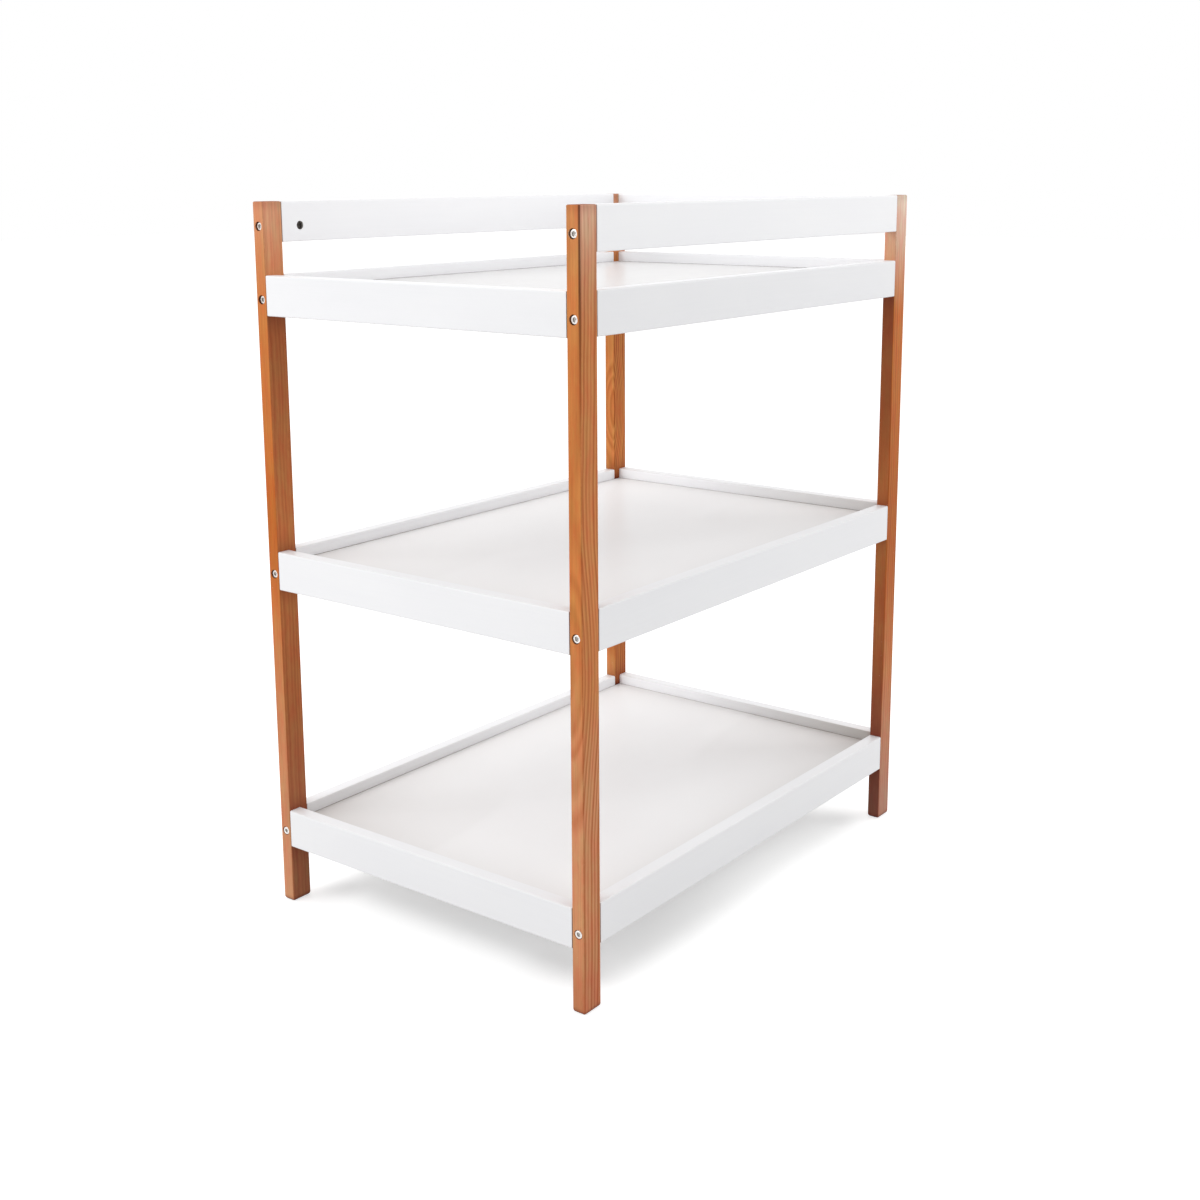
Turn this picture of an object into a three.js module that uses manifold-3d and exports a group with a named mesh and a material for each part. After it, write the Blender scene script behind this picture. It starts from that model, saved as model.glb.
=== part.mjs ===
// A baby changing table: four pine posts carry three white trays, and guard rails stand round three
// sides of the top tray. The long rails are bolted through the posts into barrel nuts, and the short
// aprons and the end guard are dowelled and glued.
//
// Millimetres. +Z is up, X runs along the long side and Y along the short side, and the origin is at
// floor level under the middle. The end at -X has no guard (the open end), the end at +X has one (the
// guard end). Left (+Y) and right (-Y) are as seen from the open end.

import * as THREE from 'three';
import { mergeVertices } from 'three/addons/utils/BufferGeometryUtils.js';
import Module from 'manifold-3d';

const wasm = await Module();
wasm.setup();

// ---------------------------------------------------------------- overall size
const LENGTH = 730;
const DEPTH = 500;
const HEIGHT = 900;

// ---------------------------------------------------------------- posts
const POST_WIDTH = 30; // along X: the wide face
const POST_THICKNESS = 18; // along Y: the narrow face, which takes the bolts
const POST_ARRIS = 2; // rounding of the four long edges
const POST_END_EASE = 1.5; // rounding round each end

// ---------------------------------------------------------------- boards
const RAIL_THICKNESS = 18; // long rails and long guards, along Y
const APRON_THICKNESS = 18; // short aprons and the end guard, along X
const BOARD_ARRIS = 1.6; // rounding of the long edges
const BUTT_GAP = 0.2; // between a board's end and the post it meets

// ---------------------------------------------------------------- trays and guards
const BOTTOM_TRAY_TOP = 126; // rim of the bottom tray above the floor
const RIM_RISE = 15; // rim above the panel's upper face
const PANEL_THICKNESS = 6;
const SKIRT = 28; // rim below the panel's lower face
const GUARD_HEIGHT = 49;
const GUARD_OPENING = 39; // open gap between the top tray's rim and the guard
const GROOVE_DEPTH = 6;
const GROOVE_CLEARANCE = 0.2; // round the panel's edge in its groove
const NOTCH_CLEARANCE = 0.4; // between the panel's notched corner and the post

// ---------------------------------------------------------------- bolts and barrel nuts
const BOLT_BELOW_PANEL = 8.5; // from the panel's lower face down to the bolt's axis
const BOLT_ABOVE_GUARD_EDGE = 19.5; // from the guard's lower edge up to the bolt's axis
const BOLT_DIAMETER = 6;
const BOLT_PAST_NUT = 2.3; // shank beyond the barrel nut when the head is flush
const BOLT_CLEARANCE = 0.5; // radial, in the post and the rail
const BOLT_TIP_CHAMFER = 0.8;
const HEAD_DIAMETER = 10;
const HEAD_HEIGHT = 6;
const HEAD_EASE = 0.6; // chamfer of the head's rim
const HEAD_CLEARANCE = 0.5; // radial, round the head in its counterbore
const HEAD_SEAT_GAP = 0.2; // under the head
const UPPER_HEAD_SINK = 2; // head below the post's face, at the guards and the top tray
const MIDDLE_HEAD_SINK = 1.5; // at the middle tray
const BOTTOM_HEAD_SINK = 0.4; // at the bottom tray
const SOCKET_ACROSS_FLATS = 5;
const SOCKET_DEPTH = 3;
const NUT_DIAMETER = 10;
const NUT_LENGTH = 12;
const NUT_INSET = 28.7; // from the rail's end to the nut's axis
const NUT_CLEARANCE = 0.2; // round the nut in its hole, and at the hole's blind end
const THREAD_CLEARANCE = 0.15; // radial, between the nut and the bolt
const NUT_SLOT_WIDTH = 1.4;
const NUT_SLOT_DEPTH = 1.2;

// ---------------------------------------------------------------- glued dowels
const DOWEL_DIAMETER = 6;
const DOWEL_REACH = 12; // out of the board's end into the post
const DOWEL_ROOT = 10; // length buried in the board
const DOWEL_FROM_EDGE = 6; // from the board's top or bottom edge to the dowel's axis
const DOWEL_CLEARANCE = 0.2; // round the dowel in the post, and at the hole's blind end

// ---------------------------------------------------------------- facets
const ARC_DIVISIONS = 2;
const END_DIVISIONS = 2;
const MOUTH_SIDES = 18; // holes whose mouths show
const FASTENER_SIDES = 12;
const HIDDEN_SIDES = 8;
const OVERCUT = 1; // how far a cutter runs past the face it starts from

// ---------------------------------------------------------------- sizes that follow
const trayHeight = RIM_RISE + PANEL_THICKNESS + SKIRT;
const topTrayTop = HEIGHT - GUARD_HEIGHT - GUARD_OPENING;
const middleTrayTop = (BOTTOM_TRAY_TOP + topTrayTop) / 2;
const railLength = LENGTH - 2 * (POST_WIDTH + BUTT_GAP);
const apronLength = DEPTH - 2 * (POST_THICKNESS + BUTT_GAP);
const postX = (LENGTH - POST_WIDTH) / 2;
const postY = (DEPTH - POST_THICKNESS) / 2;
const railY = (DEPTH - RAIL_THICKNESS) / 2;
const apronX = (LENGTH - APRON_THICKNESS) / 2;
const boltLength = POST_WIDTH + NUT_INSET + NUT_DIAMETER / 2 + BOLT_PAST_NUT - HEAD_HEIGHT;
const boltRadius = BOLT_DIAMETER / 2;
const headRadius = HEAD_DIAMETER / 2;
const nutRadius = NUT_DIAMETER / 2;
const dowelRadius = DOWEL_DIAMETER / 2;

const END_SIGNS = { open: -1, guard: 1 };
const SIDE_SIGNS = { left: 1, right: -1 };

// A level is a height at which boards meet the posts. sink is how far its bolt heads lie below the
// post's face, and ends names the ends that have a short board there.
const LEVELS = [
  {
    name: 'guard',
    top: HEIGHT,
    height: GUARD_HEIGHT,
    boltZ: HEIGHT - GUARD_HEIGHT + BOLT_ABOVE_GUARD_EDGE,
    sink: UPPER_HEAD_SINK,
    ends: ['guard'],
    hasPanel: false,
  },
  trayLevel('top_tray', topTrayTop, UPPER_HEAD_SINK),
  trayLevel('middle_tray', middleTrayTop, MIDDLE_HEAD_SINK),
  trayLevel('bottom_tray', BOTTOM_TRAY_TOP, BOTTOM_HEAD_SINK),
];

function trayLevel(name, top, sink) {
  const boltZ = top - RIM_RISE - PANEL_THICKNESS - BOLT_BELOW_PANEL;
  return { name, top, height: trayHeight, boltZ, sink, ends: ['open', 'guard'], hasPanel: true };
}

const deepestSink = Math.max(...LEVELS.map((level) => level.sink));

// ---------------------------------------------------------------- materials
function stainedPine() {
  return new THREE.MeshStandardMaterial({ color: '#b56a3a', roughness: 0.45, metalness: 0 });
}

function whiteLacquer() {
  return new THREE.MeshStandardMaterial({ color: '#f0f0ef', roughness: 0.35, metalness: 0 });
}

function whitePanel() {
  return new THREE.MeshStandardMaterial({ color: '#ece9e5', roughness: 0.3, metalness: 0 });
}

function zincSteel() {
  return new THREE.MeshStandardMaterial({ color: '#c8c9c7', roughness: 0.3, metalness: 0.95 });
}

// ---------------------------------------------------------------- shapes and solids
// A closed geometry as a solid that can be cut and joined.
function solidOf(geometry) {
  const bare = geometry.clone();
  bare.deleteAttribute('normal');
  bare.deleteAttribute('uv');
  const merged = mergeVertices(bare, 1e-4);
  const vertProperties = new Float32Array(merged.attributes.position.array);
  const triVerts = new Uint32Array(merged.index.array);
  return new wasm.Manifold(new wasm.Mesh({ numProp: 3, vertProperties, triVerts }));
}

function geometryOf(solid) {
  const mesh = solid.getMesh();
  const geometry = new THREE.BufferGeometry();
  geometry.setAttribute('position', new THREE.BufferAttribute(mesh.vertProperties, 3));
  geometry.setIndex(new THREE.BufferAttribute(mesh.triVerts, 1));
  geometry.computeVertexNormals();
  return geometry;
}

function roundedRectangle(width, height, radius) {
  const x = width / 2 - radius;
  const y = height / 2 - radius;
  const quarter = Math.PI / 2;
  const shape = new THREE.Shape();
  shape.absarc(x, y, radius, 0, quarter);
  shape.absarc(-x, y, radius, quarter, 2 * quarter);
  shape.absarc(-x, -y, radius, 2 * quarter, 3 * quarter);
  shape.absarc(x, -y, radius, 3 * quarter, 4 * quarter);
  return shape;
}

function box(lengthX, lengthY, lengthZ, x, y, z) {
  return solidOf(new THREE.BoxGeometry(lengthX, lengthY, lengthZ).translate(x, y, z));
}

// A round bar along X or along Y, given its middle.
function barAlongX(radius, length, sides, x, y, z) {
  const geometry = new THREE.CylinderGeometry(radius, radius, length, sides);
  return solidOf(geometry.rotateZ(-Math.PI / 2).translate(x, y, z));
}

function barAlongY(radius, length, sides, x, y, z) {
  return solidOf(new THREE.CylinderGeometry(radius, radius, length, sides).translate(x, y, z));
}

// A board with rounded long edges and square ends. It runs along X, centred on the origin, and its
// inner face looks towards -Y.
function boardBlank(length, thickness, height) {
  const geometry = new THREE.ExtrudeGeometry(roundedRectangle(thickness, height, BOARD_ARRIS), {
    depth: length,
    bevelEnabled: false,
    curveSegments: ARC_DIVISIONS,
  });
  geometry.translate(0, 0, -length / 2);
  geometry.rotateX(Math.PI / 2).rotateZ(Math.PI / 2);
  return solidOf(geometry);
}

// ---------------------------------------------------------------- posts
function postBlank() {
  const geometry = new THREE.ExtrudeGeometry(roundedRectangle(POST_WIDTH, POST_THICKNESS, POST_ARRIS), {
    depth: HEIGHT - 2 * POST_END_EASE,
    bevelEnabled: true,
    bevelThickness: POST_END_EASE,
    bevelSize: POST_END_EASE,
    bevelOffset: -POST_END_EASE,
    bevelSegments: END_DIVISIONS,
    curveSegments: ARC_DIVISIONS,
  });
  return solidOf(geometry.translate(0, 0, POST_END_EASE));
}

// The bolt's hole through the post, its counterbore in the outer face, and the rail's dowel hole.
function railHoles(level, endSign, sideSign) {
  const y = sideSign * (railY - postY);
  const counterbore = HEAD_HEIGHT + level.sink + HEAD_SEAT_GAP;
  const counterboreX = endSign * (POST_WIDTH / 2 + OVERCUT - (counterbore + OVERCUT) / 2);
  const dowelHole = DOWEL_REACH + DOWEL_CLEARANCE;
  const dowelX = -endSign * (POST_WIDTH / 2 + OVERCUT - (dowelHole + OVERCUT) / 2);
  const dowelZ = level.top - DOWEL_FROM_EDGE;
  return [
    barAlongX(boltRadius + BOLT_CLEARANCE, POST_WIDTH + 2 * OVERCUT, HIDDEN_SIDES, 0, y, level.boltZ),
    barAlongX(headRadius + HEAD_CLEARANCE, counterbore + OVERCUT, MOUTH_SIDES, counterboreX, y, level.boltZ),
    barAlongX(dowelRadius + DOWEL_CLEARANCE, dowelHole + OVERCUT, HIDDEN_SIDES, dowelX, y, dowelZ),
  ];
}

// The two dowel holes for a short apron, in the post's inner wide face.
function apronHoles(level, endSign, sideSign) {
  const x = endSign * (apronX - postX);
  const length = DOWEL_REACH + DOWEL_CLEARANCE + OVERCUT;
  const y = -sideSign * (POST_THICKNESS / 2 + OVERCUT - length / 2);
  return dowelHeights(level).map((z) =>
    barAlongY(dowelRadius + DOWEL_CLEARANCE, length, HIDDEN_SIDES, x, y, level.top + z),
  );
}

function post(endName, sideName) {
  const endSign = END_SIGNS[endName];
  const sideSign = SIDE_SIGNS[sideName];
  const solid = LEVELS.reduce((wood, level) => {
    const holes = railHoles(level, endSign, sideSign);
    if (level.ends.includes(endName)) {
      holes.push(...apronHoles(level, endSign, sideSign));
    }
    return holes.reduce((rest, hole) => rest.subtract(hole), wood);
  }, postBlank());
  const mesh = new THREE.Mesh(geometryOf(solid), stainedPine());
  mesh.name = `post_${endName}_${sideName}`;
  mesh.position.set(endSign * postX, sideSign * postY, 0);
  return mesh;
}

// ---------------------------------------------------------------- rails, aprons and guards
// Heights of a short board's two dowels, measured from its top edge.
function dowelHeights(level) {
  return [-DOWEL_FROM_EDGE, DOWEL_FROM_EDGE - level.height];
}

// A glued dowel standing out of the board's end at endSign, at a height above the board's middle.
function dowel(boardLength, endSign, z) {
  const length = DOWEL_REACH - BUTT_GAP + DOWEL_ROOT;
  const x = endSign * (boardLength / 2 - DOWEL_ROOT + length / 2);
  return barAlongX(dowelRadius, length, HIDDEN_SIDES, x, 0, z);
}

// The groove that holds the panel's edge, all along the board's inner face.
function grooved(board, level, length, thickness) {
  if (!level.hasPanel) {
    return board;
  }
  const opening = PANEL_THICKNESS + 2 * GROOVE_CLEARANCE;
  const y = -(thickness / 2 + OVERCUT - (GROOVE_DEPTH + OVERCUT) / 2);
  const z = level.height / 2 - RIM_RISE - PANEL_THICKNESS / 2;
  return board.subtract(box(length + 2 * OVERCUT, GROOVE_DEPTH + OVERCUT, opening, 0, y, z));
}

// The bolt's hole in the rail's end, and the barrel nut's blind hole in the rail's inner face.
function boltAndNutHoles(level, endSign) {
  const z = level.boltZ - (level.top - level.height / 2);
  const boltHole = NUT_INSET + nutRadius + BOLT_PAST_NUT + deepestSink;
  const nutHole = RAIL_THICKNESS / 2 + NUT_LENGTH / 2 + NUT_CLEARANCE;
  const boltX = endSign * (railLength / 2 + OVERCUT - (boltHole + OVERCUT) / 2);
  const nutX = endSign * (railLength / 2 - NUT_INSET);
  const nutY = -(RAIL_THICKNESS / 2 + OVERCUT - (nutHole + OVERCUT) / 2);
  return [
    barAlongX(boltRadius + BOLT_CLEARANCE, boltHole + OVERCUT, HIDDEN_SIDES, boltX, 0, z),
    barAlongY(nutRadius + NUT_CLEARANCE, nutHole + OVERCUT, MOUTH_SIDES, nutX, nutY, z),
  ];
}

function longRail(level, sideName) {
  const sideSign = SIDE_SIGNS[sideName];
  const blank = boardBlank(railLength, RAIL_THICKNESS, level.height);
  const dowelZ = level.height / 2 - DOWEL_FROM_EDGE;
  const solid = [-1, 1].reduce((wood, endSign) => {
    const bored = boltAndNutHoles(level, endSign).reduce((rest, hole) => rest.subtract(hole), wood);
    return bored.add(dowel(railLength, endSign, dowelZ));
  }, grooved(blank, level, railLength, RAIL_THICKNESS));
  const mesh = new THREE.Mesh(geometryOf(solid), whiteLacquer());
  mesh.name = `${level.name}_rail_${sideName}`;
  mesh.position.set(0, sideSign * railY, level.top - level.height / 2);
  mesh.rotation.z = sideSign > 0 ? 0 : Math.PI;
  return mesh;
}

function shortBoard(level, endName) {
  const endSign = END_SIGNS[endName];
  const blank = boardBlank(apronLength, APRON_THICKNESS, level.height);
  const solid = [-1, 1].reduce((wood, tip) => {
    const dowels = dowelHeights(level).map((z) => dowel(apronLength, tip, z + level.height / 2));
    return dowels.reduce((rest, one) => rest.add(one), wood);
  }, grooved(blank, level, apronLength, APRON_THICKNESS));
  const mesh = new THREE.Mesh(geometryOf(solid), whiteLacquer());
  mesh.name = level.hasPanel ? `${level.name}_apron_${endName}` : `${level.name}_rail_end`;
  mesh.position.set(endSign * apronX, 0, level.top - level.height / 2);
  mesh.rotation.z = (-endSign * Math.PI) / 2;
  return mesh;
}

// ---------------------------------------------------------------- panels
// The tray's floor: its edges lie in the grooves and its corners are notched round the posts.
function panel(level) {
  const inGroove = GROOVE_DEPTH - GROOVE_CLEARANCE;
  const length = LENGTH - 2 * (APRON_THICKNESS - inGroove);
  const width = DEPTH - 2 * (RAIL_THICKNESS - inGroove);
  const notchX = POST_WIDTH + 2 * NOTCH_CLEARANCE;
  const notchY = POST_THICKNESS + 2 * NOTCH_CLEARANCE;
  const corners = [-1, 1].flatMap((x) =>
    [-1, 1].map((y) => box(notchX, notchY, PANEL_THICKNESS + 2 * OVERCUT, x * postX, y * postY, 0)),
  );
  const blank = box(length, width, PANEL_THICKNESS, 0, 0, 0);
  const solid = corners.reduce((rest, corner) => rest.subtract(corner), blank);
  const mesh = new THREE.Mesh(geometryOf(solid), whitePanel());
  mesh.name = `${level.name}_panel`;
  mesh.position.set(0, 0, level.top - RIM_RISE - PANEL_THICKNESS / 2);
  return mesh;
}

// ---------------------------------------------------------------- bolts and barrel nuts
// A socket-head bolt along Y: the head's underside is at the origin and the shank points to -Y.
function boltSolid() {
  const outline = [
    [0, -boltLength],
    [boltRadius - BOLT_TIP_CHAMFER, -boltLength],
    [boltRadius, -boltLength + BOLT_TIP_CHAMFER],
    [boltRadius, 0],
    [headRadius, 0],
    [headRadius, HEAD_HEIGHT - HEAD_EASE],
    [headRadius - HEAD_EASE, HEAD_HEIGHT],
    [0, HEAD_HEIGHT],
  ].map(([radius, y]) => new THREE.Vector2(radius, y));
  const turned = solidOf(new THREE.LatheGeometry(outline, FASTENER_SIDES));
  const cornerRadius = SOCKET_ACROSS_FLATS / Math.sqrt(3);
  const socket = new THREE.CylinderGeometry(cornerRadius, cornerRadius, SOCKET_DEPTH + OVERCUT, 6);
  socket.translate(0, HEAD_HEIGHT + OVERCUT - (SOCKET_DEPTH + OVERCUT) / 2, 0);
  return turned.subtract(solidOf(socket));
}

function bolt(level, endName, sideName) {
  const endSign = END_SIGNS[endName];
  const mesh = new THREE.Mesh(geometryOf(boltSolid()), zincSteel());
  mesh.name = `${level.name}_bolt_${endName}_${sideName}`;
  const headUnderside = LENGTH / 2 - level.sink - HEAD_HEIGHT;
  mesh.position.set(endSign * headUnderside, SIDE_SIGNS[sideName] * railY, level.boltZ);
  mesh.rotation.z = (-endSign * Math.PI) / 2;
  return mesh;
}

// A barrel nut along Y, cross-bored along X, with a slot in the end that shows.
function barrelNutSolid() {
  const barrel = barAlongY(nutRadius, NUT_LENGTH, FASTENER_SIDES, 0, 0, 0);
  const bore = barAlongX(boltRadius + THREAD_CLEARANCE, NUT_DIAMETER + 2 * OVERCUT, FASTENER_SIDES, 0, 0, 0);
  const slotY = -(NUT_LENGTH / 2 + OVERCUT - (NUT_SLOT_DEPTH + OVERCUT) / 2);
  const slot = box(NUT_DIAMETER + 2 * OVERCUT, NUT_SLOT_DEPTH + OVERCUT, NUT_SLOT_WIDTH, 0, slotY, 0);
  return barrel.subtract(bore).subtract(slot);
}

function barrelNut(level, endName, sideName) {
  const sideSign = SIDE_SIGNS[sideName];
  const mesh = new THREE.Mesh(geometryOf(barrelNutSolid()), zincSteel());
  mesh.name = `${level.name}_nut_${endName}_${sideName}`;
  const x = END_SIGNS[endName] * (railLength / 2 - NUT_INSET);
  mesh.position.set(x, sideSign * railY, level.boltZ);
  mesh.rotation.z = sideSign > 0 ? 0 : Math.PI;
  return mesh;
}

// ---------------------------------------------------------------- assembly
const group = new THREE.Group();
const endNames = Object.keys(END_SIGNS);
const sideNames = Object.keys(SIDE_SIGNS);

for (const endName of endNames) {
  for (const sideName of sideNames) {
    group.add(post(endName, sideName));
  }
}

for (const level of LEVELS) {
  for (const sideName of sideNames) {
    group.add(longRail(level, sideName));
    for (const endName of endNames) {
      group.add(bolt(level, endName, sideName));
      group.add(barrelNut(level, endName, sideName));
    }
  }
  for (const endName of level.ends) {
    group.add(shortBoard(level, endName));
  }
  if (level.hasPanel) {
    group.add(panel(level));
  }
}

export default group;
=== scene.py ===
"""Looks for a baby changing table: four stained pine posts, three white lacquered trays and guard rails.

Metres, in the frame of the CAD model: +Z up, X along the long side, the open end at -X, the floor at z = 0.
The posts, boards, bolts and barrel nuts are shaped again here with fine roundings, in the places where
the CAD nodes are. The three tray panels are the CAD nodes themselves, with a material of their own.
"""

import math

import bmesh
import bpy
from mathutils import Matrix, Vector


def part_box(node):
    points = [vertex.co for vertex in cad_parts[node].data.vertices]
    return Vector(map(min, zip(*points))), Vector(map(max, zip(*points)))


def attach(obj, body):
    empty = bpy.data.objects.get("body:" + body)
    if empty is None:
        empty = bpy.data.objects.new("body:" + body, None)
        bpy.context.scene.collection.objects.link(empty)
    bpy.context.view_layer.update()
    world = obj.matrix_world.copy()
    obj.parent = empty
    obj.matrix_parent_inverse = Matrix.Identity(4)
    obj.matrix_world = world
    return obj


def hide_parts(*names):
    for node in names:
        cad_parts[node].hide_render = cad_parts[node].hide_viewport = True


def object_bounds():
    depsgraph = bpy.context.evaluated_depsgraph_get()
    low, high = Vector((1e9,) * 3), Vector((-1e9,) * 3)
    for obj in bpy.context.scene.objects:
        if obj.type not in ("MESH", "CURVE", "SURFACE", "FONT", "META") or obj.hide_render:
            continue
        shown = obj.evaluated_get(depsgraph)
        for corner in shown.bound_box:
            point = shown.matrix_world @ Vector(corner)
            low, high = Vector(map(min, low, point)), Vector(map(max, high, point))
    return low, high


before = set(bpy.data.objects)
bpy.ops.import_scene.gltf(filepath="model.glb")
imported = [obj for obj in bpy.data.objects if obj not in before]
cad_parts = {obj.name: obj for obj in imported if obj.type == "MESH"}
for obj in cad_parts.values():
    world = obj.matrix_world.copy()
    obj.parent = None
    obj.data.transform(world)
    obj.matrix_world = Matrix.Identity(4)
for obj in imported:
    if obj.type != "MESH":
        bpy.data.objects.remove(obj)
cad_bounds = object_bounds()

MM = 0.001

# ---------------------------------------------------------------- sizes, as in the CAD model
BUTT_GAP = 0.2 * MM
BOLT_RADIUS = 3 * MM
BOLT_CLEARANCE = 0.5 * MM
BOLT_TIP_CHAMFER = 0.8 * MM
HEAD_RADIUS = 5 * MM
HEAD_HEIGHT = 6 * MM
HEAD_CLEARANCE = 0.5 * MM
HEAD_SEAT_GAP = 0.2 * MM
SOCKET_ACROSS_FLATS = 5 * MM
SOCKET_DEPTH = 3 * MM
NUT_RADIUS = 5 * MM
NUT_LENGTH = 12 * MM
NUT_CLEARANCE = 0.2 * MM
THREAD_CLEARANCE = 0.15 * MM
NUT_SLOT_WIDTH = 1.4 * MM
NUT_SLOT_DEPTH = 1.2 * MM
BOLT_HOLE_LENGTH = 38 * MM
DOWEL_RADIUS = 3 * MM
DOWEL_REACH = 12 * MM
DOWEL_ROOT = 10 * MM
DOWEL_CLEARANCE = 0.2 * MM
DOWEL_FROM_EDGE = 6 * MM
RIM_RISE = 15 * MM
PANEL_THICKNESS = 6 * MM
GROOVE_DEPTH = 6 * MM
GROOVE_CLEARANCE = 0.2 * MM

# ---------------------------------------------------------------- fine shape
POST_ARRIS = 2 * MM
POST_END_EASE = 1.5 * MM
POST_FOOT_EASE = 4 * MM
BOARD_ARRIS = 1.6 * MM
BOARD_END_EASE = 0.3 * MM
ARRIS_SEGMENTS = 6
END_SEGMENTS = 5
MOUTH_CHAMFER = 0.35 * MM
OVERCUT = 1 * MM
HOLE_SIDES = 48
DOWEL_SIDES = 24
SHARP_ANGLE = math.radians(32)
HEAD_ROUNDING = 0.7 * MM
HEAD_RIDGES = 32
HEAD_RIDGE_DEPTH = 0.12 * MM
HEAD_LOWER_EASE = 0.3 * MM
RIM_STEPS = 4
SOCKET_CHAMFER = 0.25 * MM
DRILL_POINT = 0.8 * MM
DRILL_INSET = 0.1 * MM
DRILL_TIP_RADIUS = 0.4 * MM
DOWEL_CHAMFER = 0.6 * MM
NUT_EASE = 0.5 * MM

ENDS = {"open": -1, "guard": 1}
SIDES = {"left": 1, "right": -1}
TRAYS = ("top_tray", "middle_tray", "bottom_tray")
LEVELS = ("guard",) + TRAYS


# ---------------------------------------------------------------- material helpers
class Shader:
    """A material's node tree, with short calls that make a node and link it."""

    def __init__(self, name):
        self.material = bpy.data.materials.new(name)
        self.material.use_nodes = True
        self.tree = self.material.node_tree
        self.tree.nodes.clear()

    def node(self, kind, inputs=None, **settings):
        made = self.tree.nodes.new("ShaderNode" + kind)
        for key, value in settings.items():
            setattr(made, key, value)
        for key, value in (inputs or {}).items():
            if isinstance(value, bpy.types.NodeSocket):
                self.tree.links.new(value, made.inputs[key])
            else:
                made.inputs[key].default_value = value
        return made

    def math(self, operation, *values):
        return self.node("Math", dict(enumerate(values)), operation=operation).outputs[0]

    def vector(self, operation, *values):
        return self.node("VectorMath", dict(enumerate(values)), operation=operation).outputs["Vector"]

    def length(self, vector):
        return self.node("VectorMath", {0: vector}, operation="LENGTH").outputs["Value"]

    def dot(self, first, second):
        return self.node("VectorMath", {0: first, 1: second}, operation="DOT_PRODUCT").outputs["Value"]

    def remap(self, value, low, high, to_low=0.0, to_high=1.0, smooth=False):
        kind = "SMOOTHSTEP" if smooth else "LINEAR"
        inputs = {0: value, 1: low, 2: high, 3: to_low, 4: to_high}
        return self.node("MapRange", inputs, interpolation_type=kind).outputs[0]

    def noise(self, place, scale=1.0, detail=2.0, roughness=0.5, seed=0.0):
        inputs = {"Vector": place, "W": seed, "Scale": scale, "Detail": detail, "Roughness": roughness}
        return self.node("TexNoise", inputs, noise_dimensions="4D").outputs[0]

    def noise_along(self, distance, scale, detail=2.0):
        inputs = {"W": distance, "Scale": scale, "Detail": detail}
        return self.node("TexNoise", inputs, noise_dimensions="1D").outputs[0]

    def ramp(self, value, stops):
        made = self.node("ValToRGB", {0: value})
        elements = made.color_ramp.elements
        while len(elements) < len(stops):
            elements.new(0.5)
        for element, (position, grey) in zip(elements, stops):
            element.position = position
            element.color = (grey, grey, grey, 1)
        return made.outputs[0]

    def blend(self, share, first, second):
        made = self.node("Mix", data_type="RGBA")
        for index, value in ((0, share), (6, first), (7, second)):
            if isinstance(value, bpy.types.NodeSocket):
                self.tree.links.new(value, made.inputs[index])
            else:
                made.inputs[index].default_value = value if index == 0 else (*value, 1)
        return made.outputs[2]

    def millimetres(self):
        place = self.node("TexCoord").outputs["Object"]
        made = self.node("VectorMath", {0: place, "Scale": 1000.0}, operation="SCALE")
        return made.outputs["Vector"]

    def stretched(self, place, x, y, z):
        return self.vector("MULTIPLY", place, (x, y, z))

    def split(self, place):
        made = self.node("SeparateXYZ", {0: place})
        return made.outputs[0], made.outputs[1], made.outputs[2]

    def times(self, colour, factor):
        made = self.node("VectorMath", {0: colour, "Scale": factor}, operation="SCALE")
        return made.outputs["Vector"]

    def near(self, place, centre, reach):
        """1 at the centre, falling smoothly to 0 at the reach along each axis."""
        offset = self.vector("DIVIDE", self.vector("SUBTRACT", place, centre), reach)
        return self.remap(self.length(offset), 0.0, 1.0, 1.0, 0.0, smooth=True)

    def bump(self, height, distance):
        return self.node("Bump", {"Height": height, "Distance": distance, "Strength": 1.0}).outputs[0]

    def edge_distance(self, first, second, half_first, half_second):
        """How far a point of a bar's surface is from the nearest long edge, in millimetres."""
        from_first = self.math("SUBTRACT", half_first, self.math("ABSOLUTE", first))
        from_second = self.math("SUBTRACT", half_second, self.math("ABSOLUTE", second))
        return self.math("MAXIMUM", from_first, from_second)

    def finish(self, **inputs):
        named = {key.replace("_", " "): value for key, value in inputs.items()}
        shader = self.node("BsdfPrincipled", named)
        self.node("OutputMaterial", {"Surface": shader.outputs[0]})
        return self.material


# ---------------------------------------------------------------- stained pine
EARLYWOOD = (0.645, 0.222, 0.060)
LATEWOOD = (0.385, 0.098, 0.023)
PALE_SHEEN = (0.660, 0.302, 0.155)
BARE_WOOD_AND_SHEEN = (0.900, 0.720, 0.600)
RICH_CAST = (0.840, 0.730, 0.550)
RED_CAST = (1.030, 0.865, 0.865)
YELLOW_CAST = (0.985, 1.080, 1.020)
END_GRAIN = (0.300, 0.095, 0.034)
DEEP_STAIN_AND_SHADE = (0.125, 0.011, 0.011)
WOOD_IN_SHADE = (0.100, 0.030, 0.010)
FOOT_FULL_AT = -420.0  # the height at which a foot has all of its own colour


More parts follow.
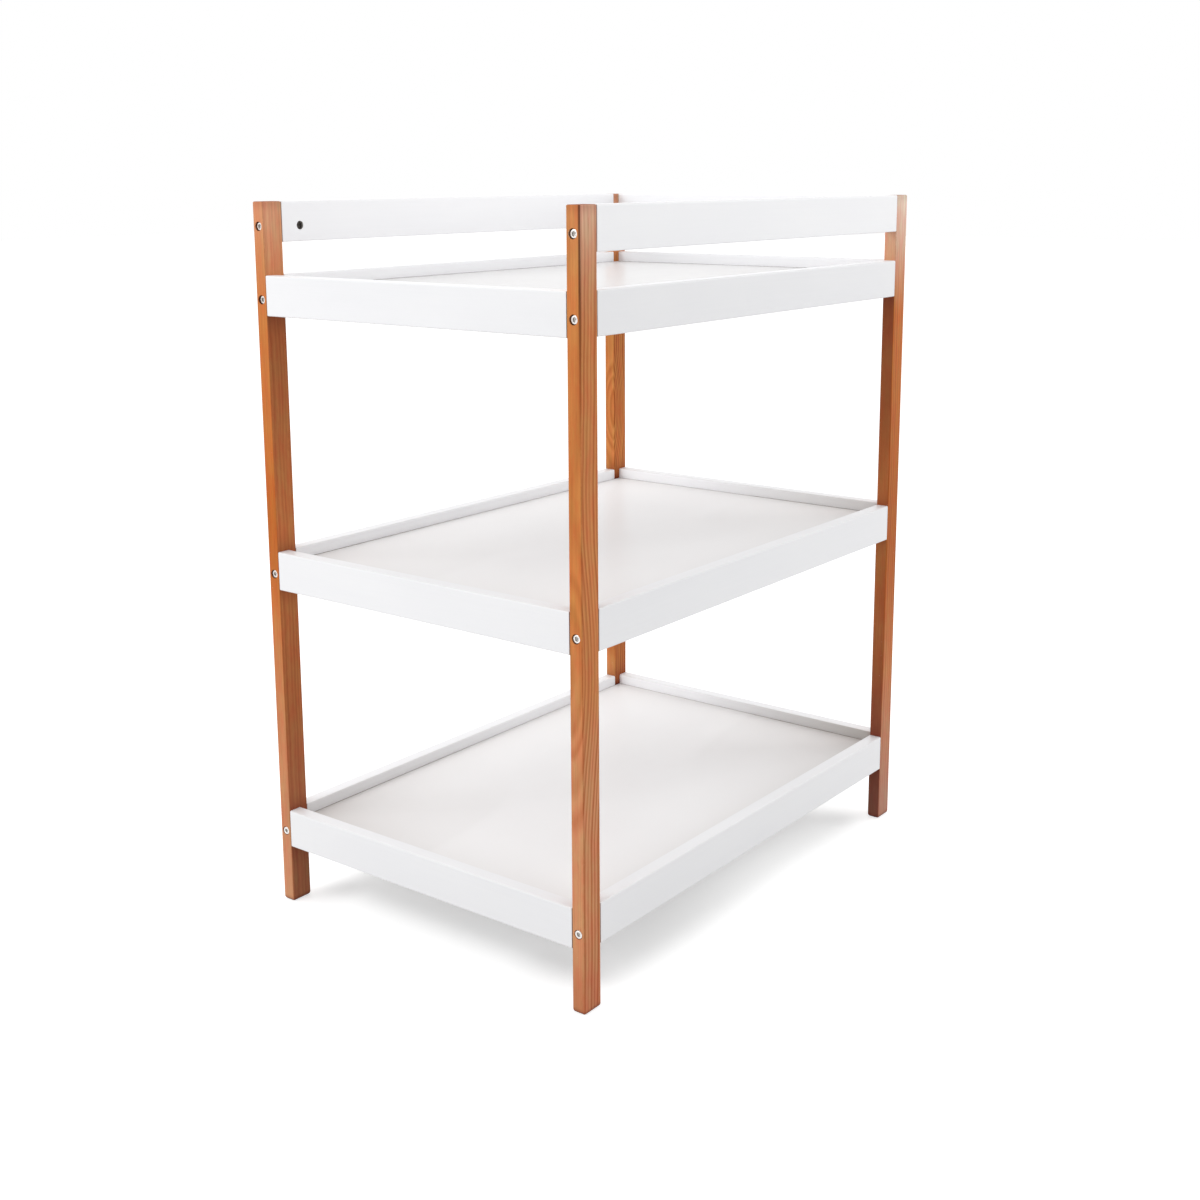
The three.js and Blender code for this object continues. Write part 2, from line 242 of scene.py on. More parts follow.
def growth_rings(s, place, seed, pith, lean, ring, swirls):
    """How far each point is through its year's ring, from 0 to 1, how strong that year was, and the
    direction away from the pith."""
    x, y, z = s.split(place)
    sway = s.math("MULTIPLY_ADD", s.noise_along(s.math("ADD", z, seed * 971.0), 0.005), 2.0, -1.0)
    bow = s.math("MULTIPLY_ADD", s.noise_along(s.math("ADD", z, seed * 613.0 + 5000.0), 0.004), 2.0, -1.0)
    pith_x = s.math("MULTIPLY_ADD", z, lean[0] / 1000, s.math("MULTIPLY_ADD", sway, 3.5, pith[0]))
    pith_y = s.math("MULTIPLY_ADD", z, lean[1] / 1000, s.math("MULTIPLY_ADD", bow, 12.0, pith[1]))
    outward = s.node("CombineXYZ", {0: s.math("SUBTRACT", x, pith_x), 1: s.math("SUBTRACT", y, pith_y), 2: 0.0})
    radius = s.length(outward.outputs[0])
    for centre, reach, push in swirls:
        radius = s.math("MULTIPLY_ADD", s.near(place, centre, reach), push, radius)
    uneven = s.noise_along(s.math("ADD", radius, seed * 37.0), 0.09, 1.0)
    wander = s.noise(s.stretched(place, 0.035, 0.035, 0.006), 1.0, 2.0, 0.5, seed)
    quiver = s.noise(s.stretched(place, 0.3, 0.3, 0.03), 1.0, 2.0, 0.5, seed + 1)
    warped = s.math("MULTIPLY_ADD", wander, 2.4, s.math("MULTIPLY_ADD", quiver, 0.5, radius))
    turns = s.math("MULTIPLY", s.math("MULTIPLY_ADD", uneven, 3.6, warped), 1 / ring)
    year = s.node("TexWhiteNoise", {"W": s.math("FLOOR", turns)}, noise_dimensions="1D").outputs[0]
    return s.math("FRACT", turns), year, s.vector("NORMALIZE", outward.outputs[0])


def shaded(s, z):
    """1 below the top tray, where the wood is painted in shade, and 0 above it."""
    return s.remap(z, 330.0, 345.0, 1.0, 0.0)


def stained_pine(
    name,
    seed,
    tone,
    pith,
    lean,
    ring,
    figure,
    swirls,
    pink_sheen_from,
    pinker_sheen,
    sheen_top,
    foot,
    rich,
    shaded_face,
    dark_arris_line,
    inward,
    half_size,
    joints,
):
    """Sawn pine under stain and satin varnish. Lengths are in millimetres, heights from the post's middle.

    tone multiplies the wood's colour. pith is where the middle of the tree passes beside the post, lean how
    far it drifts over a metre, ring the mean ring width, and figure how strongly the rings show. A swirl
    pushes the rings round a knot that lies outside the post: a centre, a reach and a push.

    pink_sheen_from is the height below which the wood is painted pink as a sheen. pinker_sheen is the least
    share of that painted pink, and sheen_top how far the top is painted pale as a sheen, each for the faces
    across X and the faces across Y. foot is a share and a colour that the wood takes on downwards from a
    height; a pale one is a painted reflection of the floor. rich is a band of warmer stain, as its height,
    reach and share, or None.
    shaded_face is a face, as its outward direction, painted in shade below the top tray, how much darker, and
    the height at which that painted shade is lightest. dark_arris_line is an arris with a painted line of shade
    down it, as the signs of its X and Y and the lowest height it shows at, or None.

    inward points from the two inner faces to the table's middle, half_size is half the post's size, and
    joints are the heights between which boards butt on it.
    """
    s = Shader(name)
    place = s.millimetres()
    x, y, z = s.split(place)
    normal = s.node("TexCoord").outputs["Normal"]
    through, year, outward = growth_rings(s, place, seed, pith, lean, ring, swirls)
    stops = [(0.0, 0.0), (0.18, 0.08), (0.38, 0.50), (0.58, 0.95), (0.72, 1.0), (0.88, 0.45), (1.0, 0.0)]
    flat_sawn = s.math("ABSOLUTE", s.dot(normal, outward))
    by_year = s.remap(year, 0.0, 1.0, 0.45 * figure, figure)
    strength = s.math("MULTIPLY", by_year, s.remap(flat_sawn, 0.6, 1.0, 1.0, 0.5))
    late = s.math("MULTIPLY", s.ramp(through, stops), strength)

    # long fibres, fine pores and short resin ducts
    fibre = s.noise(s.stretched(place, 0.75, 0.75, 0.008), 1.0, 4.0, 0.6, seed + 3)
    pores = s.noise(s.stretched(place, 4.2, 4.2, 0.075), 1.0, 2.0, 0.5, seed + 7)
    ducts = s.noise(s.stretched(place, 1.5, 1.5, 0.05), 1.0, 1.0, 0.4, seed + 11)
    duct = s.remap(ducts, 0.68, 0.76, 0.0, 1.0, smooth=True)
    cloud = s.noise(s.stretched(place, 0.02, 0.02, 0.0045), 1.0, 2.0, 0.5, seed + 17)
    blotch = s.noise(s.stretched(place, 0.10, 0.10, 0.030), 1.0, 3.0, 0.55, seed + 31)

    # painted sheen: pink low down and on some faces, and pale towards the top
    height = s.math("MULTIPLY_ADD", cloud, 120.0, s.math("ADD", z, -60.0))
    on_y_face = s.remap(s.math("ABSOLUTE", s.split(normal)[1]), 0.3, 0.7)
    pink = s.remap(height, pink_sheen_from + 20, pink_sheen_from - 230, 0.0, 0.75, smooth=True)
    shade_direction, more, lightest_at = shaded_face
    on_shaded_face = s.remap(s.dot(normal, shade_direction), 0.5, 0.8)
    pink = s.math("MULTIPLY", pink, s.math("MULTIPLY_ADD", on_shaded_face, -0.7, 1.0))
    pink = s.math("MAXIMUM", pink, s.math("MULTIPLY_ADD", on_y_face, pinker_sheen[1] - pinker_sheen[0], pinker_sheen[0]))
    early = s.blend(pink, EARLYWOOD, PALE_SHEEN)
    # painted sheen: the wood paler towards the top
    top_sheen = s.math("MULTIPLY_ADD", on_y_face, sheen_top[1] - sheen_top[0], sheen_top[0])
    top_sheen = s.math("MULTIPLY", top_sheen, s.math("POWER", s.remap(height, 290.0, 445.0), 1.6))
    wood = s.vector("MULTIPLY", s.blend(late, early, LATEWOOD), tone)
    wood = s.blend(top_sheen, wood, s.blend(s.math("MULTIPLY", late, 0.35), BARE_WOOD_AND_SHEEN, PALE_SHEEN))
    # the foot's colour from a height down; a pale one is a painted reflection of the floor
    foot_share, foot_colour, foot_from = foot
    wood = s.blend(s.remap(height, foot_from, FOOT_FULL_AT, 0.0, foot_share), wood, foot_colour)
    wood = s.vector("MULTIPLY", wood, s.blend(s.remap(blotch, 0.35, 0.65), RED_CAST, YELLOW_CAST))
    wood = s.times(wood, s.remap(fibre, 0.3, 0.7, 0.88, 1.11))
    wood = s.times(wood, s.remap(pores, 0.3, 0.7, 0.94, 1.05))
    wood = s.times(wood, s.remap(cloud, 0.3, 0.7, 0.95, 1.04))
    wood = s.blend(s.math("MULTIPLY", duct, 0.45), wood, LATEWOOD)
    inner_x = s.math("MULTIPLY", s.split(normal)[0], inward[0])
    inner_y = s.math("MULTIPLY", s.split(normal)[1], inward[1])
    inner = s.remap(s.math("MAXIMUM", inner_x, inner_y), 0.5, 0.9)
    if rich:
        centre, reach, most = rich
        off_centre = s.math("ABSOLUTE", s.math("SUBTRACT", height, centre))
        in_band = s.remap(off_centre, 0.0, reach, most, 0.0, smooth=True)
        rich_share = s.math("MULTIPLY", in_band, s.math("SUBTRACT", 1.0, inner))
        wood = s.vector("MULTIPLY", wood, s.blend(rich_share, (1.0, 1.0, 1.0), RICH_CAST))
    # painted shade on the shaded face below the top tray
    from_lightest = s.math("ABSOLUTE", s.math("SUBTRACT", z, lightest_at))
    painted_shade = s.math("MULTIPLY", s.remap(from_lightest, 0.0, 300.0, 0.45 * more, 2.0 * more), shaded(s, z))
    wood = s.blend(s.math("MULTIPLY", on_shaded_face, painted_shade), wood, DEEP_STAIN_AND_SHADE)

    # darker along the arrises, soaked far into the end grain, and painted shade by the joints and down the
    # holes
    edge = s.edge_distance(x, y, half_size.x, half_size.y)
    ragged = s.math("MULTIPLY_ADD", s.noise(place, 0.22, 3.0, 0.6, seed + 23), 2.4, s.math("ADD", edge, -1.2))
    wood = s.blend(s.remap(ragged, 0.2, 1.5, 0.30, 0.0, smooth=True), wood, LATEWOOD)
    nicks = s.noise(s.stretched(place, 0.45, 0.45, 0.30), 1.0, 2.0, 0.5, seed + 37)
    wood = s.blend(s.remap(nicks, 0.74, 0.80, 0.0, 0.6, smooth=True), wood, BARE_WOOD_AND_SHEEN)
    # painted line of shade down one arris
    if dark_arris_line:
        side_x, side_y, lowest = dark_arris_line
        off_x = s.math("SUBTRACT", x, side_x * (half_size.x - 0.6))
        off_y = s.math("SUBTRACT", y, side_y * (half_size.y - 0.6))
        off = s.math("MAXIMUM", s.math("ABSOLUTE", off_x), s.math("ABSOLUTE", off_y))
        arris_line = s.math("MULTIPLY", s.remap(off, 0.4, 1.9, 0.82, 0.0), s.remap(height, lowest, lowest + 160.0))
        wood = s.blend(arris_line, wood, WOOD_IN_SHADE)
    upright = s.math("ABSOLUTE", s.split(normal)[2])
    end_grain = s.remap(upright, 0.55, 0.9, 0.0, 0.75, smooth=True)
    wood = s.blend(end_grain, wood, END_GRAIN)
    # darker at the foot, partly painted contact shade, and a little darker at the top end
    from_foot = s.math("ADD", z, half_size.z)
    wood = s.blend(s.remap(from_foot, 0.5, 8.0, 0.60, 0.0, smooth=True), wood, DEEP_STAIN_AND_SHADE)
    from_top = s.math("SUBTRACT", half_size.z, z)
    wood = s.blend(s.remap(from_top, 0.5, 14.0, 0.18, 0.0, smooth=True), wood, DEEP_STAIN_AND_SHADE)
    # painted shade by the joints on the inner faces, below the top tray
    away = 1000.0
    for low, high in joints:
        beyond = s.math("MAXIMUM", s.math("SUBTRACT", low, z), s.math("SUBTRACT", z, high))
        away = s.math("MINIMUM", away, beyond)
    joint_shade = s.math("MULTIPLY", s.math("POWER", s.remap(away, 0.0, 36.0, 1.0, 0.0), 2.0), 0.4)
    joint_shade = s.math("ADD", joint_shade, s.remap(away, -6.0, -14.0, 0.0, 0.35))
    wood = s.blend(s.math("MULTIPLY", s.math("MULTIPLY", joint_shade, inner), shaded(s, z)), wood, DEEP_STAIN_AND_SHADE)
    # painted shade down the holes
    from_end = s.math("SUBTRACT", half_size.z, s.math("ABSOLUTE", z))
    from_side_x = s.math("SUBTRACT", half_size.x, s.math("ABSOLUTE", x))
    from_side_y = s.math("SUBTRACT", half_size.y, s.math("ABSOLUTE", y))
    inside = s.math("MINIMUM", s.math("MINIMUM", from_side_x, from_side_y), from_end)
    wood = s.blend(s.remap(inside, 0.4, 1.4, 0.0, 0.85, smooth=True), wood, WOOD_IN_SHADE)

    gloss = s.math("MULTIPLY_ADD", late, -0.05, s.remap(fibre, 0.3, 0.7, 0.34, 0.44))
    gloss = s.math("MULTIPLY_ADD", end_grain, 0.2, gloss)
    relief = s.math("MULTIPLY_ADD", late, 0.8, s.math("MULTIPLY_ADD", pores, 0.9, fibre))
    return s.finish(
        Base_Color=wood,
        Roughness=gloss,
        IOR=1.5,
        Specular_IOR_Level=0.05,
        Normal=s.bump(relief, 0.035 * MM),
    )


# ---------------------------------------------------------------- white lacquer
LACQUER = (0.866, 0.868, 0.886)
LACQUER_THICK = (0.888, 0.889, 0.902)
LACQUER_THIN = (0.800, 0.785, 0.760)
HOLE_SHADE_BOARD = (0.300, 0.270, 0.245)
END_SHADE_GREY = (0.450, 0.415, 0.375)


def white_lacquer(name, seed, face_light, half_size, end_shade=None):
    """Satin white lacquer sprayed on a planed board, whose grain still tells faintly along X.

    face_light is how much lighter or darker the inner face, which looks towards -Y, and the outer face are
    painted, as painted light and shade. half_size is half the board's length, thickness and height, in
    millimetres. end_shade is the end of X towards which the inner face is painted in shade, and how much.
    """
    s = Shader(name)
    place = s.millimetres()
    x, y, z = s.split(place)
    cloud = s.noise(s.stretched(place, 0.006, 0.02, 0.02), 1.0, 3.0, 0.5, seed)
    grain = s.noise(s.stretched(place, 0.006, 0.45, 0.45), 1.0, 4.0, 0.6, seed + 5)
    peel = s.noise(place, 0.55, 2.0, 0.5, seed + 9)
    dust = s.remap(s.noise(place, 0.9, 1.0, 0.3, seed + 13), 0.74, 0.80, 0.0, 1.0, smooth=True)

    white = s.blend(s.remap(cloud, 0.3, 0.7), LACQUER, LACQUER_THICK)
    white = s.times(white, s.remap(grain, 0.3, 0.7, 0.992, 1.006))
    # painted light and shade: each face brightened or darkened by face_light
    facing = s.dot(s.node("TexCoord").outputs["Normal"], (0, -1, 0))
    inner, outer = s.remap(facing, 0.5, 0.9), s.remap(facing, -0.5, -0.9)
    face_gain = s.math("MULTIPLY_ADD", outer, face_light[1] - 1.0, s.math("MULTIPLY_ADD", inner, face_light[0] - 1.0, 1.0))
    white = s.times(white, face_gain)
    # painted shade: the inner face darkens towards one end
    if end_shade:
        towards, most = end_shade
        end_shade_share = s.remap(s.math("MULTIPLY", x, towards), -0.35 * half_size[0], half_size[0], 0.0, most)
        white = s.blend(s.math("MULTIPLY", inner, end_shade_share), white, END_SHADE_GREY)
    edge = s.edge_distance(y, z, half_size[1], half_size[2])
    ragged = s.math("MULTIPLY_ADD", s.noise(place, 0.16, 4.0, 0.65, seed + 19), 2.6, s.math("ADD", edge, -1.3))
    worn = s.remap(ragged, 0.1, 1.1, 0.40, 0.0, smooth=True)
    white = s.blend(worn, white, LACQUER_THIN)
    # painted shade inside the holes
    inside_y = s.math("SUBTRACT", half_size[1], s.math("ABSOLUTE", y))
    inside_z = s.math("SUBTRACT", half_size[2], s.math("ABSOLUTE", z))
    inside = s.math("MINIMUM", inside_y, inside_z)
    white = s.blend(s.remap(inside, 0.3, 1.0, 0.0, 1.0, smooth=True), white, HOLE_SHADE_BOARD)
    scuffs = s.noise(s.stretched(place, 0.02, 0.3, 0.12), 1.0, 5.0, 0.7, seed + 29)
    scuff = s.remap(scuffs, 0.62, 0.74, 0.0, 0.10, smooth=True)
    gloss = s.math("ADD", s.remap(cloud, 0.3, 0.7, 0.33, 0.40), scuff)
    relief = s.math("MULTIPLY_ADD", grain, 1.6, s.math("MULTIPLY_ADD", dust, 1.2, peel))
    return s.finish(
        Base_Color=white,
        Roughness=gloss,
        IOR=1.48,
        Coat_Weight=0.10,
        Coat_Roughness=0.18,
        Normal=s.bump(relief, 0.012 * MM),
    )


# ---------------------------------------------------------------- white tray panels
PANEL_LIGHT = (0.940, 0.932, 0.933)
JOINT_SHADE = (0.300, 0.255, 0.220)
PANEL_DEEP = (0.915, 0.905, 0.907)


def white_panel(name, seed, shade, rim_shade, half_opening):
    """Semi-gloss white foil on board, with a soft pebble and the faint marks of wiping. A painted shadow line
    runs along the joint with the rims, which stand half_opening from the middle, and painted shade spreads from
    the rims, as strong as rim_shade, and into two opposite corners. shade multiplies the whole colour, as
    painted shade."""
    s = Shader(name)
    place = s.millimetres()
    cloud = s.noise(s.stretched(place, 0.004, 0.006, 0.02), 1.0, 3.0, 0.5, seed)
    pebble = s.noise(place, 1.1, 2.0, 0.5, seed + 5)
    wiped = s.noise(s.stretched(place, 0.012, 0.02, 0.02), 1.0, 4.0, 0.6, seed + 9)
    white = s.blend(s.remap(cloud, 0.3, 0.7), PANEL_DEEP, PANEL_LIGHT)
    white = s.times(white, s.remap(pebble, 0.3, 0.7, 0.995 * shade, 1.004 * shade))
    x, y, _ = s.split(place)
    from_end = s.math("SUBTRACT", half_opening.x, s.math("ABSOLUTE", x))
    from_side = s.math("SUBTRACT", half_opening.y, s.math("ABSOLUTE", y))
    from_rims = s.math("MINIMUM", from_end, from_side)
    # painted shade in two opposite corners
    opposite = s.remap(s.math("MULTIPLY", x, y), 0.0, -9000.0)
    corner = s.math("MULTIPLY", opposite, s.remap(s.math("MAXIMUM", from_end, from_side), 0.0, 400.0, 1.0, 0.0))
    # painted shadow line along the joint with the rims, darker towards those corners
    line = s.remap(s.math("MULTIPLY_ADD", wiped, 1.2, from_rims), 1.2, 3.4, 1.0, 0.0, smooth=True)
    line = s.math("MULTIPLY", line, s.math("MULTIPLY_ADD", corner, 0.5, 0.35))
    # painted shade spreading from the rims
    soft = s.math("POWER", s.remap(from_rims, 0.0, 110.0, 1.0, 0.0), 2.0)
    soft = s.math("MULTIPLY_ADD", s.math("POWER", corner, 3.0), 2.0, soft)
    white = s.blend(s.math("MAXIMUM", line, s.math("MULTIPLY", soft, rim_shade)), white, JOINT_SHADE)
    gloss = s.math("ADD", s.remap(wiped, 0.3, 0.7, 0.245, 0.26), s.remap(pebble, 0.3, 0.7, 0.0, 0.01))
    return s.finish(
        Base_Color=white,
        Roughness=gloss,
        IOR=1.5,
        Specular_IOR_Level=0.013,
        Normal=s.bump(pebble, 0.006 * MM),
    )


# ---------------------------------------------------------------- zinc-plated steel
ZINC = (0.78, 0.77, 0.75)
ZINC_BLUE = (0.69, 0.70, 0.71)
ZINC_DULL_AND_SHADE = (0.16, 0.15, 0.14)


def zinc_steel(name, face, shade_depth, darkest, tone):
    """Bright zinc plate with turning marks round the axis, local Z.

    face is how far along Z the painted shade starts, in millimetres. The plate is painted darker over
    shade_depth behind it, as far as darkest, as painted shade in a recess. tone multiplies the colour, as
    painted light and shade.
    """
    s = Shader(name)
    place = s.millimetres()
    x, y, z = s.split(place)
    radius = s.math("SQRT", s.math("ADD", s.math("MULTIPLY", x, x), s.math("MULTIPLY", y, y)))
    turned = s.noise_along(radius, 7.0, 3.0)
    mottle = s.noise(place, 0.55, 4.0, 0.6, 3.0)
    nicks = s.remap(s.noise(place, 1.8, 2.0, 0.6, 8.0), 0.66, 0.74, 0.0, 1.0, smooth=True)
    zinc = s.blend(s.remap(mottle, 0.35, 0.65), ZINC, ZINC_BLUE)
    zinc = s.times(zinc, s.remap(turned, 0.3, 0.7, 0.93, 1.05))
    # painted shade in the recess behind the face
    depth = s.math("SUBTRACT", face, z)
    recess_shade = s.remap(depth, 0.15 * shade_depth, shade_depth, 0.0, darkest, smooth=True)
    zinc = s.blend(s.math("MAXIMUM", recess_shade, s.math("MULTIPLY", nicks, 0.4)), zinc, ZINC_DULL_AND_SHADE)
    zinc = s.vector("MULTIPLY", zinc, tone)
    gloss = s.math("ADD", s.remap(mottle, 0.3, 0.7, 0.24, 0.36), s.math("MULTIPLY", recess_shade, 0.25))
    relief = s.math("MULTIPLY_ADD", nicks, -0.6, turned)
    return s.finish(
        Base_Color=zinc,
        Metallic=1.0,
        Roughness=gloss,
        Normal=s.bump(relief, 0.006 * MM),
    )


# ---------------------------------------------------------------- shape helpers
def aimed(at, direction):
    """A frame at a point, with its Z along a direction."""
    return Matrix.Translation(at) @ Vector(direction).to_track_quat("Z", "Y").to_matrix().to_4x4()


def add_rings(bm, rings):
    """Adds a closed solid through rings of points, each ring with as many points as the next."""
    count = len(rings[0])
    made = [[bm.verts.new(point) for point in ring] for ring in rings]
    for lower, upper in zip(made, made[1:]):
        for step in range(count):
            following = (step + 1) % count
            bm.faces.new((lower[step], lower[following], upper[following], upper[step]))
    bm.faces.new(list(reversed(made[0])))
    bm.faces.new(made[-1])


def add_turned(bm, rows, sides, place=Matrix.Identity(4)):
    """Adds a turned solid. rows are (distance along Z, radius), the radius a number or a function of the
    angle, and flat caps close both ends."""
    rings = []
    for along, radius in rows:
        ring = []
        for step in range(sides):
            angle = 2 * math.pi * step / sides
            reach = radius(angle) if callable(radius) else radius
            ring.append(place @ Vector((reach * math.cos(angle), reach * math.sin(angle), along)))
        rings.append(ring)
    add_rings(bm, rings)


def add_box(bm, low, high):
    size = [b - a for a, b in zip(low, high)]
    middle = [(a + b) / 2 for a, b in zip(low, high)]
    place = Matrix.Translation(middle) @ Matrix.Diagonal((*size, 1))
    bmesh.ops.create_cube(bm, size=1, matrix=place)


def to_object(bm, name):
    bmesh.ops.recalc_face_normals(bm, faces=bm.faces)
    mesh = bpy.data.meshes.new(name)
    bm.to_mesh(mesh)
    bm.free()
    made = bpy.data.objects.new(name, mesh)
    bpy.context.scene.collection.objects.link(made)
    return made


def bake_modifiers(piece):
    """Gives the piece the mesh that its modifiers make, and drops them."""
    bpy.context.view_layer.update()
    evaluated = piece.evaluated_get(bpy.context.evaluated_depsgraph_get())
    old = piece.data
    piece.data = bpy.data.meshes.new_from_object(evaluated)
    piece.modifiers.clear()
    piece.data.name = piece.name
    bpy.data.meshes.remove(old)


def carve(piece, operation, bm):
    """Cuts a tool out of the piece, or joins it on."""
    tool = to_object(bm, "tool")
    modifier = piece.modifiers.new("carve", "BOOLEAN")
    modifier.operation = operation
    modifier.solver = "EXACT"
    modifier.object = tool
    bake_modifiers(piece)
    used = tool.data
    bpy.data.objects.remove(tool)
    bpy.data.meshes.remove(used)


def smooth(piece):
    """Soft shading over the roundings, crisp at real corners, and flat faces kept flat."""
    mesh = piece.data
    mesh.polygons.foreach_set("use_smooth", [True] * len(mesh.polygons))
    mesh.set_sharp_from_angle(angle=SHARP_ANGLE)
    modifier = piece.modifiers.new("normals", "WEIGHTED_NORMAL")
    modifier.keep_sharp = True
    modifier.weight = 90
    bake_modifiers(piece)


def rounded_outline(half_width, half_height, radius):
    """Points of a rectangle with rounded corners, the same number whatever its size."""
    points = []
    for corner, (side_x, side_y) in enumerate(((1, 1), (-1, 1), (-1, -1), (1, -1))):
        for step in range(ARRIS_SEGMENTS + 1):
            angle = math.pi / 2 * (corner + step / ARRIS_SEGMENTS)
            x = side_x * (half_width - radius) + radius * math.cos(angle)
            y = side_y * (half_height - radius) + radius * math.sin(angle)
            points.append((x, y))
    return points


def rounded_bar(name, length, width, height, arris, low_ease, high_ease, end_segments):
    """A bar along local Z, centred on the origin, its long edges rounded and its two ends eased."""
    rows = []
    for direction, ease in ((-1, low_ease), (1, high_ease)):
        insets = []
        for step in range(end_segments + 1):
            angle = math.pi / 2 * step / end_segments
            back, inset = ease * (1 - math.sin(angle)), ease * (1 - math.cos(angle))
            insets.append((direction * (length / 2 - inset), back))
        rows += insets if direction < 0 else reversed(insets)
    rings = []
    for along, back in rows:
        outline = rounded_outline(width / 2 - back, height / 2 - back, arris)
        rings.append([Vector((x, y, along)) for x, y in outline])
    bm = bmesh.new()
    add_rings(bm, rings)
    return to_object(bm, name)


def laid_along_x(bar):
    """Turns a bar that was made along Z to lie along X, its width along Y and its height along Z."""
    bar.data.transform(Matrix(((0, 0, 1, 0), (1, 0, 0, 0), (0, 1, 0, 0), (0, 0, 0, 1))))
    return bar


def place_piece(piece, node, material, matrix=Matrix.Identity(4)):
    piece.data.materials.clear()
    piece.data.materials.append(material)
    piece.matrix_world = matrix
    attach(piece, "root")
    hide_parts(node)


def middle_of(node):
    low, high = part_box(node)
    return (low + high) / 2


def size_of(node):
    low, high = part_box(node)
    return high - low


# ---------------------------------------------------------------- posts
def counterbored_hole(bm, face, inward, seat_depth, length):
    """The bolt's way in: a chamfered mouth, the counterbore for the head, and the hole right through."""
    wide = HEAD_RADIUS + HEAD_CLEARANCE
    narrow = BOLT_RADIUS + BOLT_CLEARANCE
    rows = [
        (-OVERCUT, wide + MOUTH_CHAMFER + OVERCUT),
        (MOUTH_CHAMFER, wide),
        (seat_depth, wide),
        (seat_depth, narrow),
        (length + OVERCUT, narrow),
    ]
    add_turned(bm, rows, HOLE_SIDES, aimed(face, inward))


def dowel_hole(bm, face, inward):
    radius = DOWEL_RADIUS + DOWEL_CLEARANCE
    rows = [(-OVERCUT, radius), (DOWEL_REACH + DOWEL_CLEARANCE, radius)]
    add_turned(bm, rows, DOWEL_SIDES, aimed(face, inward))


def level_heights(level):
    low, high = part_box(f"{level}_rail_left")
    return low.z, high.z


def make_post(end_name, side_name, material):
    node = f"post_{end_name}_{side_name}"
    end, side = ENDS[end_name], SIDES[side_name]
    size, middle = size_of(node), middle_of(node)
    name = f"{node}_detailed"
    post = rounded_bar(name, size.z, size.x, size.y, POST_ARRIS, POST_FOOT_EASE, POST_END_EASE, END_SEGMENTS)
    holes = bmesh.new()
    for level in LEVELS:
        bolt_low, bolt_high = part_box(f"{level}_bolt_{end_name}_{side_name}")
        bolt = (bolt_low + bolt_high) / 2 - middle
        head_face = max(abs(bolt_low.x), abs(bolt_high.x)) - abs(middle.x)
        seat_depth = size.x / 2 - (head_face - HEAD_HEIGHT) + HEAD_SEAT_GAP
        outer_face = Vector((end * size.x / 2, bolt.y, bolt.z))
        counterbored_hole(holes, outer_face, (-end, 0, 0), seat_depth, size.x)
        low, high = level_heights(level)
        dowel_z = high - DOWEL_FROM_EDGE - middle.z
        dowel_hole(holes, Vector((-end * size.x / 2, bolt.y, dowel_z)), (end, 0, 0))
        if level != "guard" or end_name == "guard":
            short = f"{level}_apron_{end_name}" if level in TRAYS else "guard_rail_end"
            x = middle_of(short).x - middle.x
            for z in (low + DOWEL_FROM_EDGE, high - DOWEL_FROM_EDGE):
                dowel_hole(holes, Vector((x, -side * size.y / 2, z - middle.z)), (0, side, 0))
    carve(post, "DIFFERENCE", holes)
    smooth(post)
    place_piece(post, node, material, Matrix.Translation(middle))


# ---------------------------------------------------------------- rails, aprons and guards
def add_dowel(bm, end_face, outward):
    """A glued dowel, chamfered where it enters the post."""
    reach = DOWEL_REACH - BUTT_GAP
    rows = [
        (-DOWEL_ROOT, DOWEL_RADIUS),
        (reach - DOWEL_CHAMFER, DOWEL_RADIUS),
        (reach, DOWEL_RADIUS - DOWEL_CHAMFER),
    ]
    add_turned(bm, rows, DOWEL_SIDES, aimed(end_face, outward))


def cut_groove(bm, length, thickness, height):
    """The groove for the panel's edge, all along the inner face, which looks towards local -Y."""
    top = height / 2 - RIM_RISE + GROOVE_CLEARANCE
    bottom = height / 2 - RIM_RISE - PANEL_THICKNESS - GROOVE_CLEARANCE
    low = (-length / 2 - OVERCUT, -thickness / 2 - OVERCUT, bottom)
    add_box(bm, low, (length / 2 + OVERCUT, -thickness / 2 + GROOVE_DEPTH, top))


